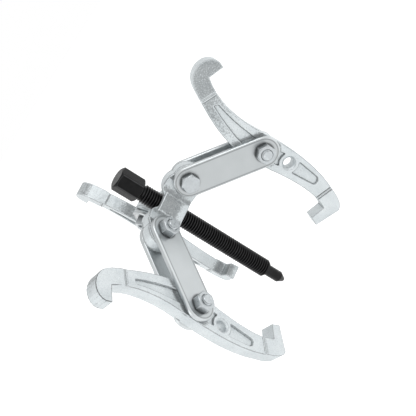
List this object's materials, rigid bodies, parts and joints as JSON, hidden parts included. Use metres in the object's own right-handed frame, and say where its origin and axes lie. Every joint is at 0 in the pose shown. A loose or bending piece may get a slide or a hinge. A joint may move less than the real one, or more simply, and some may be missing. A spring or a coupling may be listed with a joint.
{
  "type": "gear puller",
  "caption": "Three-arm screw gear puller: a threaded forcing screw through a lugged yoke, with hinged strap arms and reversible double-hook jaws.",
  "frame": {"origin": "on the forcing screw's axis, in the plane of the three yoke bolts, inside the yoke's hub", "axes": "+Z runs along the screw towards its hex head, -Z towards its nose; +X points along arm 1, and arm 3 and arm 2 follow at 120 and 240 degrees about +Z"},
  "size_m": [0.168, 0.1846, 0.1658],
  "materials": {
    "black_screw": "satin",
    "forged_steel": "satin",
    "strap_steel": "satin",
    "fastener_steel": "satin",
    "spring_wire": "satin"
  },
  "bodies": {
    "yoke_body": {"yoke": "forged_steel"},
    "arm_1_links": {"arm_1_front_strap": "strap_steel", "arm_1_rear_strap": "strap_steel", "arm_1_yoke_bolt": "fastener_steel", "arm_1_yoke_nut": "fastener_steel", "arm_1_jaw_bolt": "fastener_steel", "arm_1_jaw_nut": "fastener_steel"},
    "arm_1_jaw_body": {"arm_1_jaw": "forged_steel"},
    "arm_2_links": {"arm_2_front_strap": "strap_steel", "arm_2_rear_strap": "strap_steel", "arm_2_yoke_bolt": "fastener_steel", "arm_2_yoke_nut": "fastener_steel", "arm_2_jaw_bolt": "fastener_steel", "arm_2_jaw_nut": "fastener_steel"},
    "arm_2_jaw_body": {"arm_2_jaw": "forged_steel"},
    "arm_3_links": {"arm_3_front_strap": "strap_steel", "arm_3_rear_strap": "strap_steel", "arm_3_yoke_bolt": "fastener_steel", "arm_3_yoke_nut": "fastener_steel", "arm_3_jaw_bolt": "fastener_steel", "arm_3_jaw_nut": "fastener_steel"},
    "arm_3_jaw_body": {"arm_3_jaw": "forged_steel"},
    "nose_body": {"screw_tip": "black_screw", "tip_retaining_ring": "spring_wire"},
    "screw_body": {"forcing_screw": "black_screw"}
  },
  "joints": [
    {"name": "arm_1_spread", "type": "hinge", "parent": "yoke_body", "child": "arm_1_links", "pos_m": [0.028, 0, 0], "axis": [0, -1, 0], "range_deg": [-19.8, 44.2]},
    {"name": "arm_1_jaw_swing", "type": "hinge", "parent": "arm_1_links", "child": "arm_1_jaw_body", "pos_m": [0.0768, 0, -0.03316], "axis": [0, 1, 0], "range_deg": [-39.1, 32.7]},
    {"name": "arm_2_spread", "type": "hinge", "parent": "yoke_body", "child": "arm_2_links", "pos_m": [-0.014, -0.02425, 0], "axis": [-0.866, 0.5, 0], "range_deg": [-17.8, 50.2]},
    {"name": "arm_2_jaw_swing", "type": "hinge", "parent": "arm_2_links", "child": "arm_2_jaw_body", "pos_m": [-0.03653, -0.06327, -0.03808], "axis": [0.866, -0.5, 0], "range_deg": [-32.2, 31.1]},
    {"name": "arm_3_spread", "type": "hinge", "parent": "yoke_body", "child": "arm_3_links", "pos_m": [-0.014, 0.02425, 0], "axis": [0.866, 0.5, 0], "range_deg": [-22, 45]},
    {"name": "arm_3_jaw_swing", "type": "hinge", "parent": "arm_3_links", "child": "arm_3_jaw_body", "pos_m": [-0.03816, 0.0661, -0.03384], "axis": [-0.866, -0.5, 0], "range_deg": [-31, 38]},
    {"name": "screw_feed", "type": "slide", "parent": "yoke_body", "child": "nose_body", "axis": [0, 0, 1], "range_m": [-0.0141, 0.0804]},
    {"name": "screw_turn", "type": "hinge", "parent": "nose_body", "child": "screw_body", "pos_m": [0, 0, 0], "axis": [0, 0, 1], "range_deg": [-2400, 13680]}
  ],
  "couplings": [
    {"joint": "screw_turn", "follows": "screw_feed", "rad_per_m": 2968.4}
  ]
}
